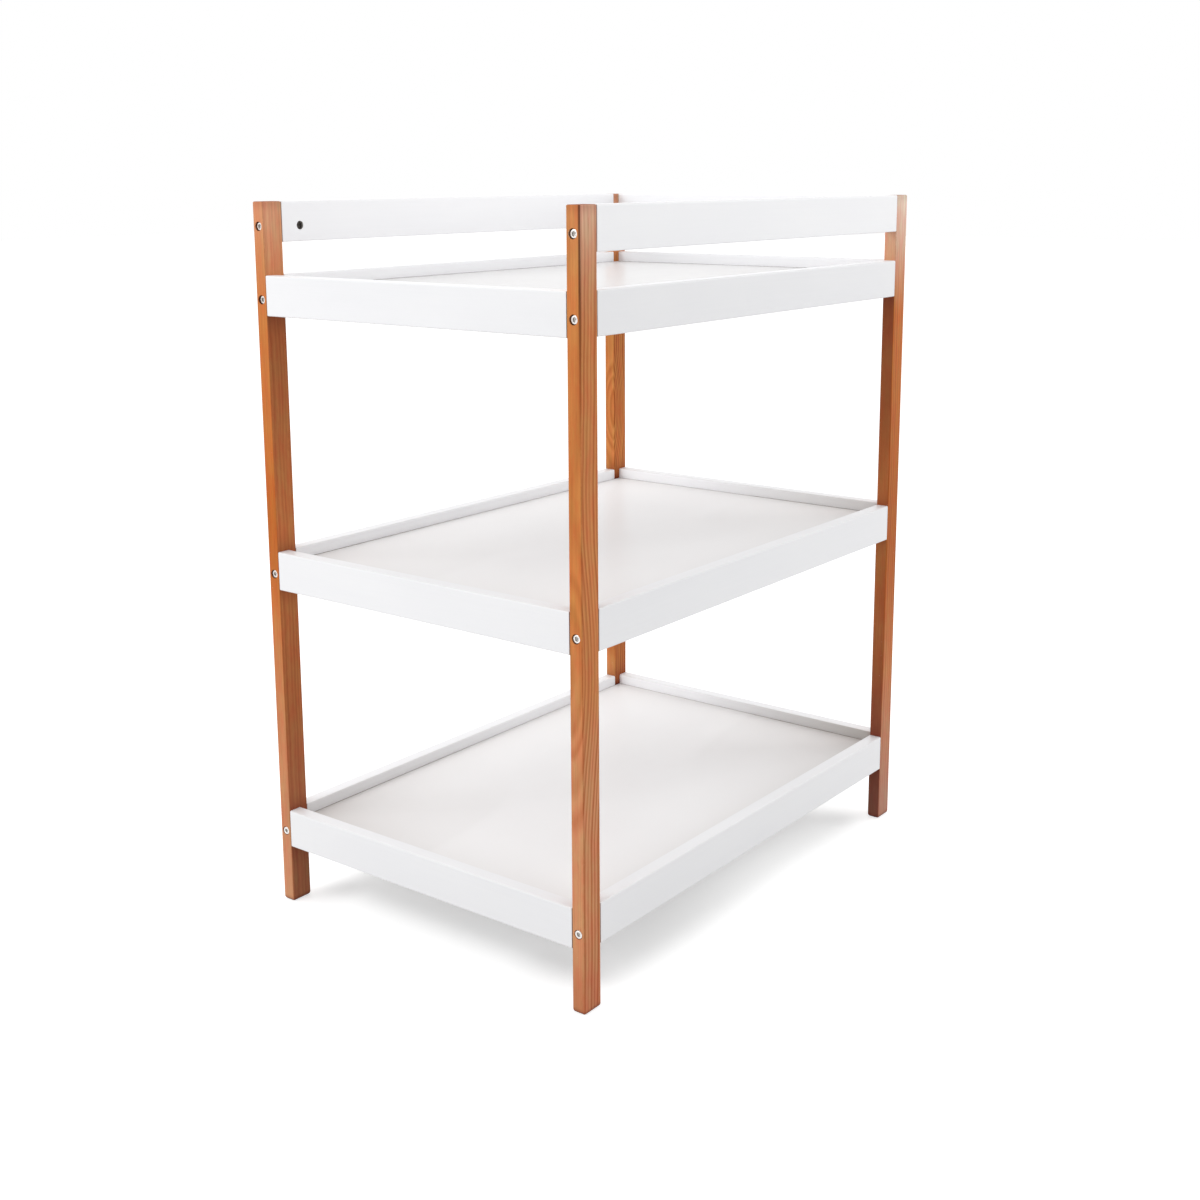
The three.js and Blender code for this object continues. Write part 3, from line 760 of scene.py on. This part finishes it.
def make_rail(level, side_name, material):
    """A long board, bored at each end for a bolt and its barrel nut."""
    node = f"{level}_rail_{side_name}"
    side = SIDES[side_name]
    size = size_of(node)
    length = 2 * (abs(middle_of("post_guard_left").x) - size_of("post_guard_left").x / 2 - BUTT_GAP)
    bar = (length, size.y, size.z)
    rail = laid_along_x(rounded_bar(f"{node}_detailed", *bar, BOARD_ARRIS, BOARD_END_EASE, BOARD_END_EASE, 1))
    turn = Matrix.Translation(middle_of(node)) @ Matrix.Rotation(0 if side > 0 else math.pi, 4, "Z")
    bolt_holes, nut_holes, dowels = bmesh.new(), bmesh.new(), bmesh.new()
    for end in (-1, 1):
        nut = turn.inverted() @ middle_of(f"{level}_nut_{'guard' if end * side > 0 else 'open'}_{side_name}")
        end_x = end * length / 2
        inward = (-end, 0, 0)
        narrow = BOLT_RADIUS + BOLT_CLEARANCE
        bolt_rows = [(-OVERCUT, narrow), (BOLT_HOLE_LENGTH, narrow)]
        add_turned(bolt_holes, bolt_rows, DOWEL_SIDES, aimed((end_x, 0, nut.z), inward))
        wide = NUT_RADIUS + NUT_CLEARANCE
        depth = size.y / 2 + NUT_LENGTH / 2 + NUT_CLEARANCE
        nut_rows = [(-OVERCUT, wide + MOUTH_CHAMFER + OVERCUT), (MOUTH_CHAMFER, wide), (depth, wide)]
        add_turned(nut_holes, nut_rows, HOLE_SIDES, aimed((nut.x, -size.y / 2, nut.z), (0, 1, 0)))
        add_dowel(dowels, (end_x, 0, size.z / 2 - DOWEL_FROM_EDGE), (end, 0, 0))
    if level in TRAYS:
        cut_groove(bolt_holes, *bar)
    carve(rail, "DIFFERENCE", bolt_holes)
    carve(rail, "DIFFERENCE", nut_holes)
    carve(rail, "UNION", dowels)
    smooth(rail)
    place_piece(rail, node, material, turn)


def make_short_board(level, end_name, material):
    """An apron or the end guard, glued between two posts on four dowels."""
    node = f"{level}_apron_{end_name}" if level in TRAYS else "guard_rail_end"
    end = ENDS[end_name]
    size = size_of(node)
    length = 2 * (abs(middle_of("post_guard_left").y) - size_of("post_guard_left").y / 2 - BUTT_GAP)
    bar = (length, size.x, size.z)
    board = laid_along_x(rounded_bar(f"{node}_detailed", *bar, BOARD_ARRIS, BOARD_END_EASE, BOARD_END_EASE, 1))
    turn = Matrix.Translation(middle_of(node)) @ Matrix.Rotation(-end * math.pi / 2, 4, "Z")
    dowels = bmesh.new()
    for tip in (-1, 1):
        for z in (size.z / 2 - DOWEL_FROM_EDGE, DOWEL_FROM_EDGE - size.z / 2):
            add_dowel(dowels, (tip * length / 2, 0, z), (tip, 0, 0))
    if level in TRAYS:
        groove = bmesh.new()
        cut_groove(groove, *bar)
        carve(board, "DIFFERENCE", groove)
    carve(board, "UNION", dowels)
    smooth(board)
    place_piece(board, node, material, turn)


# ---------------------------------------------------------------- bolts and barrel nuts
def hexagon(across_flats):
    """Radius of a hexagonal outline at an angle."""
    sixth = math.pi / 3
    return lambda angle: across_flats / 2 / math.cos((angle + sixth / 2) % sixth - sixth / 2)


def ridged(radius):
    """Radius of the head's side, cut into fine straight ridges."""
    return lambda angle: radius - HEAD_RIDGE_DEPTH * (0.5 - 0.5 * math.cos(HEAD_RIDGES * angle))


def bolt_mesh(length):
    """A socket-head bolt along local Z, with the underside of its head at the origin."""
    ease = [step * math.pi / 2 / RIM_STEPS for step in range(RIM_STEPS + 1)]
    rim = [
        (
            HEAD_HEIGHT - HEAD_ROUNDING * (1 - math.sin(a)),
            HEAD_RADIUS - HEAD_ROUNDING * (1 - math.cos(a)),
        )
        for a in ease
    ]
    rows = [
        (HEAD_HEIGHT - length, BOLT_RADIUS - BOLT_TIP_CHAMFER),
        (HEAD_HEIGHT - length + BOLT_TIP_CHAMFER, BOLT_RADIUS),
        (0, BOLT_RADIUS),
        (0, HEAD_RADIUS - HEAD_LOWER_EASE),
        (HEAD_LOWER_EASE, ridged(HEAD_RADIUS)),
        (HEAD_HEIGHT - HEAD_ROUNDING - HEAD_LOWER_EASE, ridged(HEAD_RADIUS)),
        *rim,
        (HEAD_HEIGHT, hexagon(SOCKET_ACROSS_FLATS + 2 * SOCKET_CHAMFER)),
        (HEAD_HEIGHT - SOCKET_CHAMFER, hexagon(SOCKET_ACROSS_FLATS)),
        (HEAD_HEIGHT - SOCKET_DEPTH + DRILL_POINT, hexagon(SOCKET_ACROSS_FLATS)),
        (HEAD_HEIGHT - SOCKET_DEPTH + DRILL_POINT, SOCKET_ACROSS_FLATS / 2 - DRILL_INSET),
        (HEAD_HEIGHT - SOCKET_DEPTH, DRILL_TIP_RADIUS),
    ]
    bm = bmesh.new()
    add_turned(bm, rows, 3 * HEAD_RIDGES)
    bolt = to_object(bm, "bolt")
    smooth(bolt)
    return bolt


def nut_mesh():
    """A barrel nut along local Z, slotted at its +Z end and bored across for the bolt."""
    half = NUT_LENGTH / 2
    rows = [
        (-half, NUT_RADIUS - NUT_EASE),
        (NUT_EASE - half, NUT_RADIUS),
        (half - NUT_EASE, NUT_RADIUS),
        (half - NUT_EASE * 0.3, NUT_RADIUS - NUT_EASE * 0.3),
        (half, NUT_RADIUS - NUT_EASE),
    ]
    bm = bmesh.new()
    add_turned(bm, rows, HOLE_SIDES)
    nut = to_object(bm, "nut")
    bore = bmesh.new()
    reach = NUT_RADIUS + OVERCUT
    across = BOLT_RADIUS + THREAD_CLEARANCE
    add_turned(bore, [(-reach, across), (reach, across)], HOLE_SIDES, aimed((0, 0, 0), (1, 0, 0)))
    carve(nut, "DIFFERENCE", bore)
    slot = bmesh.new()
    half_slot = NUT_SLOT_WIDTH / 2
    add_box(slot, (-reach, -half_slot, half - NUT_SLOT_DEPTH), (reach, half_slot, half + OVERCUT))
    carve(nut, "DIFFERENCE", slot)
    smooth(nut)
    return nut


def place_copies(master, kind, materials, matrix_for):
    """One piece for each level and corner, all sharing the master's mesh, with a material for each level."""
    for level, material in zip(LEVELS, materials):
        for end_name in ENDS:
            for side_name in SIDES:
                node = f"{level}_{kind}_{end_name}_{side_name}"
                copy = bpy.data.objects.new(f"{node}_detailed", master.data)
                bpy.context.scene.collection.objects.link(copy)
                place_piece(copy, node, material, matrix_for(node, end_name, side_name))
    bpy.data.objects.remove(master)


def bolt_matrix(node, end_name, side_name):
    end = ENDS[end_name]
    low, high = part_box(node)
    face = max(abs(low.x), abs(high.x))
    middle = (low + high) / 2
    return aimed((end * (face - HEAD_HEIGHT), middle.y, middle.z), (end, 0, 0))


def nut_matrix(node, end_name, side_name):
    inward = Vector((0, -SIDES[side_name], 0))
    middle = middle_of(node)
    turned = Matrix((Vector((1, 0, 0)), inward.cross(Vector((1, 0, 0))), inward)).transposed()
    return Matrix.Translation(middle) @ turned.to_4x4()


# ---------------------------------------------------------------- the table
# each post's wood, with its painted sheen, painted shade and painted line of shade
PINE = {
    "post_open_right": dict(
        seed=1.0,
        tone=(1.00, 1.07, 1.14),
        pith=(-70, 6),
        lean=(18, 8),
        ring=5.8,
        figure=0.9,
        swirls=[((-20, 20, -55), (120, 80, 195), -22.0)],
        pink_sheen_from=0.0,
        pinker_sheen=(0.0, 0.22),
        sheen_top=(0.05, 0.42),
        foot=(0.24, (0.480, 0.055, 0.035), -330.0),
        rich=None,
        shaded_face=((1, 0, 0), 0.0, 30.0),
        dark_arris_line=(-1, -1, 200.0),
    ),
    "post_open_left": dict(
        seed=2.0,
        tone=(0.94, 0.90, 0.88),
        pith=(74, 4),
        lean=(-4, -8),
        ring=5.6,
        figure=0.40,
        swirls=[((10, 30, 260), (60, 60, 150), 9.0)],
        pink_sheen_from=0.0,
        pinker_sheen=(0.0, 0.28),
        sheen_top=(0.20, 0.22),
        foot=(0.09, BARE_WOOD_AND_SHEEN, -180.0),
        rich=(80.0, 170.0, 1.0),
        shaded_face=((0, -1, 0), 0.20, 30.0),
        dark_arris_line=None,
    ),
    "post_guard_right": dict(
        seed=3.0,
        tone=(0.93, 0.86, 0.76),
        pith=(80, -3),
        lean=(8, 6),
        ring=6.6,
        figure=0.65,
        swirls=[((-30, -20, 60), (80, 60, 170), 7.0)],
        pink_sheen_from=-60.0,
        pinker_sheen=(0.35, 0.0),
        sheen_top=(0.62, 0.97),
        foot=(0.40, (0.380, 0.270, 0.280), -230.0),
        rich=(-20.0, 260.0, 0.9),
        shaded_face=((-1, 0, 0), 0.31, -10.0),
        dark_arris_line=None,
    ),
    "post_guard_left": dict(
        seed=4.0,
        tone=(1.04, 1.10, 1.06),
        pith=(-66, -6),
        lean=(12, -10),
        ring=5.4,
        figure=1.2,
        swirls=[((-25, -18, 115), (70, 60, 110), -22.0)],
        pink_sheen_from=-200.0,
        pinker_sheen=(0.15, 0.10),
        sheen_top=(0.30, 0.30),
        foot=(0.0, BARE_WOOD_AND_SHEEN, -180.0),
        rich=None,
        shaded_face=((0, -1, 0), 0.14, 30.0),
        dark_arris_line=None,
    ),
}

for end_name, end in ENDS.items():
    for side_name, side in SIDES.items():
        node = f"post_{end_name}_{side_name}"
        middle = middle_of(node)
        spans = [[(edge - middle.z) / MM for edge in level_heights(level)] for level in LEVELS]
        pine = stained_pine(
            f"pine_{end_name}_{side_name}",
            inward=(-end, -side),
            half_size=size_of(node) / MM / 2,
            joints=spans,
            **PINE[node],
        )
        make_post(end_name, side_name, pine)

# painted light and shade: how bright the inner and outer face of a board are painted, where they are not both 1
PAINTED_FACE_LIGHT = {
    "guard_left": (1.06, 1.0),
    "guard_right": (0.98, 1.08),
    "guard_guard": (1.06, 1.0),
    "top_tray_left": (1.09, 1.0),
    "top_tray_guard": (1.04, 1.0),
    "middle_tray_left": (1.03, 1.0),
    "middle_tray_guard": (1.12, 1.0),
    "bottom_tray_guard": (1.12, 1.0),
}
# painted shade: the end of a board's X that its inner face darkens towards, and how much
END_SHADE = {"middle_tray_guard": (1, 0.50), "bottom_tray_guard": (1, 0.80), "bottom_tray_left": (-1, 0.25)}
# painted shade, top tray first: how light each whole panel is, and how strong the shade from its rims
PANEL_SHADE = (0.83, 1.0, 1.0)
PANEL_RIM_SHADE = (0.05, 0.09, 0.17)

seed = 20.0
for level in LEVELS:
    rail_half = size_of(f"{level}_rail_left") / MM / 2
    half_width = abs(middle_of("post_guard_left").y) / MM
    for side_name in SIDES:
        seed += 1.0
        board = f"{level}_{side_name}"
        face_light, end_shade = PAINTED_FACE_LIGHT.get(board, (1.0, 1.0)), END_SHADE.get(board)
        lacquer = white_lacquer(f"lacquer_{board}", seed, face_light, rail_half, end_shade)
        make_rail(level, side_name, lacquer)
    for end_name in ENDS if level in TRAYS else ("guard",):
        seed += 1.0
        board = f"{level}_{end_name}"
        face_light, end_shade = PAINTED_FACE_LIGHT.get(board, (1.0, 1.0)), END_SHADE.get(board)
        half_board = (half_width, rail_half.y, rail_half.z)
        lacquer = white_lacquer(f"lacquer_{board}", seed, face_light, half_board, end_shade)
        make_short_board(level, end_name, lacquer)

for number, level in enumerate(TRAYS):
    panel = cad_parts[f"{level}_panel"]
    panel.data.materials.clear()
    inner_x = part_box(f"{level}_apron_guard")[0].x
    inner_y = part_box(f"{level}_rail_left")[0].y
    half_opening = Vector((inner_x, inner_y)) / MM
    foil = white_panel(f"panel_{level}", 50.0 + number, PANEL_SHADE[number], PANEL_RIM_SHADE[number], half_opening)
    panel.data.materials.append(foil)

bolt_length = size_of("guard_bolt_open_left").x
# painted light and shade: the bolts of each level lighter or darker, and their sockets darker
BOLT_LIGHT_BY_LEVEL = {
    "guard": (0.84, 0.82, 0.83),
    "top_tray": (0.97, 0.96, 0.97),
    "middle_tray": (0.86, 0.82, 0.72),
    "bottom_tray": (1.03, 1.00, 0.98),
}
SOCKET_SHADE_BY_LEVEL = {"guard": 0.25, "top_tray": 0.35, "middle_tray": 0.7, "bottom_tray": 0.7}
SOCKET_SHADE_DEPTH = 3.4
NUT_SHADE_DEPTH = 4.0
# painted shade: the barrel nuts, far down their holes, are painted dark
NUT_SHADE_TONE = (0.45, 0.43, 0.41)
bolt_zincs = [
    zinc_steel(f"zinc_bolt_{level}", HEAD_HEIGHT / MM, SOCKET_SHADE_DEPTH, SOCKET_SHADE_BY_LEVEL[level], BOLT_LIGHT_BY_LEVEL[level])
    for level in LEVELS
]
nut_zinc = zinc_steel("zinc_nut", NUT_LENGTH / 2 / MM + NUT_SHADE_DEPTH, NUT_SHADE_DEPTH, 1.0, NUT_SHADE_TONE)
place_copies(bolt_mesh(bolt_length), "bolt", bolt_zincs, bolt_matrix)
place_copies(nut_mesh(), "nut", [nut_zinc] * len(LEVELS), nut_matrix)


# ---------------------------------------------------------------- studio
FLOOR_SIZE = 40.0
FLOOR_ALBEDO = 0.60
FLOOR_LIFT_IN_SHADOW = 0.42
FLOOR_LIFT = 0.66
FLOOR_DROP = 0.1 * MM  # below the posts' feet, so that the two do not share a plane
# painted shadow: the floor glows less under the table, from this far inside its outline, over this width
FLOOR_INSIDE_X = 0.09
FLOOR_INSIDE_Y = 0.05
FLOOR_FADE = 0.06
# painted light and shadow on the floor: the centre, the reach along each axis, the change at the centre
FLOOR_LIGHT_AND_SHADOW = (
    ((0.110, -0.207, 0.0), (0.300, 0.080, 1.0), 0.14),
    ((-0.318, 0.215, 0.0), (0.055, 0.055, 1.0), -0.16),
    ((0.316, -0.205, 0.0), (0.050, 0.055, 1.0), -0.14),
    ((-0.300, -0.160, 0.0), (0.060, 0.090, 1.0), -0.08),
)
SKY_TOWARDS_BACKDROP = (0.79, 0.61, 0.0)
SKY_LIGHT_FRONT = 0.80
SKY_LIGHT_BACK = 1.12


def seen_white(tree):
    """1 for rays from the camera, and for mirrored and refracted ones, so that gloss shows white too."""
    path = tree.nodes.new("ShaderNodeLightPath")
    total = path.outputs["Is Camera Ray"]
    for name in ("Is Glossy Ray", "Is Transmission Ray"):
        larger = tree.nodes.new("ShaderNodeMath")
        larger.operation = "MAXIMUM"
        tree.links.new(total, larger.inputs[0])
        tree.links.new(path.outputs[name], larger.inputs[1])
        total = larger.outputs[0]
    return total


def make_floor():
    s = Shader("floor_white")
    place = s.node("TexCoord").outputs["Object"]
    x, y, _ = s.split(place)
    past_x = s.math("MAXIMUM", s.math("SUBTRACT", s.math("ABSOLUTE", x), cad_bounds[1].x - FLOOR_INSIDE_X), 0.0)
    past_y = s.math("MAXIMUM", s.math("SUBTRACT", s.math("ABSOLUTE", y), cad_bounds[1].y - FLOOR_INSIDE_Y), 0.0)
    past = s.math("SQRT", s.math("ADD", s.math("MULTIPLY", past_x, past_x), s.math("MULTIPLY", past_y, past_y)))
    lift = s.remap(past, 0.0, FLOOR_FADE, FLOOR_LIFT_IN_SHADOW, FLOOR_LIFT, smooth=True)
    for centre, reach, change in FLOOR_LIGHT_AND_SHADOW:
        lift = s.math("MULTIPLY_ADD", s.near(place, centre, reach), change, lift)
    glow = s.node("Emission", {"Strength": s.math("MULTIPLY", lift, seen_white(s.tree))})
    matt = s.node("BsdfDiffuse", {"Color": (FLOOR_ALBEDO, FLOOR_ALBEDO, FLOOR_ALBEDO, 1)})
    both = s.node("AddShader", {0: matt.outputs[0], 1: glow.outputs[0]})
    s.node("OutputMaterial", {"Surface": both.outputs[0]})
    bm = bmesh.new()
    bmesh.ops.create_grid(bm, x_segments=1, y_segments=1, size=FLOOR_SIZE / 2)
    floor = to_object(bm, "studio_floor")
    floor.location.z = -FLOOR_DROP
    floor.data.materials.append(s.material)


def make_sky():
    world = bpy.data.worlds.new("studio")
    world.use_nodes = True
    tree = world.node_tree
    tree.nodes.clear()
    direction = tree.nodes.new("ShaderNodeTexCoord").outputs["Generated"]
    facing = tree.nodes.new("ShaderNodeVectorMath")
    facing.operation = "DOT_PRODUCT"
    facing.inputs[1].default_value = SKY_TOWARDS_BACKDROP
    tree.links.new(direction, facing.inputs[0])
    light = tree.nodes.new("ShaderNodeMapRange")
    spans = {"From Min": -1, "From Max": 1, "To Min": SKY_LIGHT_FRONT, "To Max": SKY_LIGHT_BACK}
    for name, value in spans.items():
        light.inputs[name].default_value = value
    tree.links.new(facing.outputs["Value"], light.inputs["Value"])
    strength = tree.nodes.new("ShaderNodeMapRange")
    strength.inputs["To Max"].default_value = 1.0
    tree.links.new(light.outputs[0], strength.inputs["To Min"])
    tree.links.new(seen_white(tree), strength.inputs["Value"])
    background = tree.nodes.new("ShaderNodeBackground")
    background.inputs["Color"].default_value = (1, 1, 1, 1)
    tree.links.new(strength.outputs[0], background.inputs["Strength"])
    output = tree.nodes.new("ShaderNodeOutputWorld")
    tree.links.new(background.outputs[0], output.inputs["Surface"])
    bpy.context.scene.world = world


def soft_box(name, at, aim, width, height, power):
    light = bpy.data.lights.new(name, "AREA")
    light.shape = "RECTANGLE"
    light.size, light.size_y = width, height
    light.energy = power
    lamp = bpy.data.objects.new(name, light)
    lamp.visible_camera = False
    turn = (Vector(aim) - Vector(at)).to_track_quat("-Z", "Y")
    lamp.matrix_world = Matrix.Translation(at) @ turn.to_matrix().to_4x4()
    bpy.context.scene.collection.objects.link(lamp)


make_floor()
make_sky()
soft_box("soft_box_left", (-2.3, 1.2, 1.65), (0, 0, 0.5), 1.3, 1.0, 19)
soft_box("soft_box_right", (2.2, -1.75, 1.50), (0, 0, 0.8), 1.2, 1.1, 12)
soft_box("soft_box_top", (0.4, 0.8, 2.8), (0, 0, 0.5), 2.0, 2.0, 10)

# ---------------------------------------------------------------- camera
LENS = 47.84
SENSOR = 36.0
CAMERA_AT = Vector((-1.659, -1.266, 0.931))
HEADING = math.radians(37.45)
TILT = math.radians(11.3)
ROLL = math.radians(-0.29)
SHIFT = -0.09


def make_camera():
    data = bpy.data.cameras.new("camera")
    data.lens, data.sensor_width, data.shift_y = LENS, SENSOR, SHIFT
    data.clip_start, data.clip_end = 0.05, 100
    camera = bpy.data.objects.new("camera", data)
    forward = Vector(
        (math.cos(HEADING) * math.cos(TILT), math.sin(HEADING) * math.cos(TILT), -math.sin(TILT))
    )
    level = Vector((math.sin(HEADING), -math.cos(HEADING), 0))
    upward = level.cross(forward)
    right = math.cos(ROLL) * level + math.sin(ROLL) * upward
    up = math.cos(ROLL) * upward - math.sin(ROLL) * level
    camera.matrix_world = Matrix.Translation(CAMERA_AT) @ Matrix((right, up, -forward)).transposed().to_4x4()
    bpy.context.scene.collection.objects.link(camera)
    bpy.context.scene.camera = camera


make_camera()
bpy.context.scene.view_settings.view_transform = "Standard"
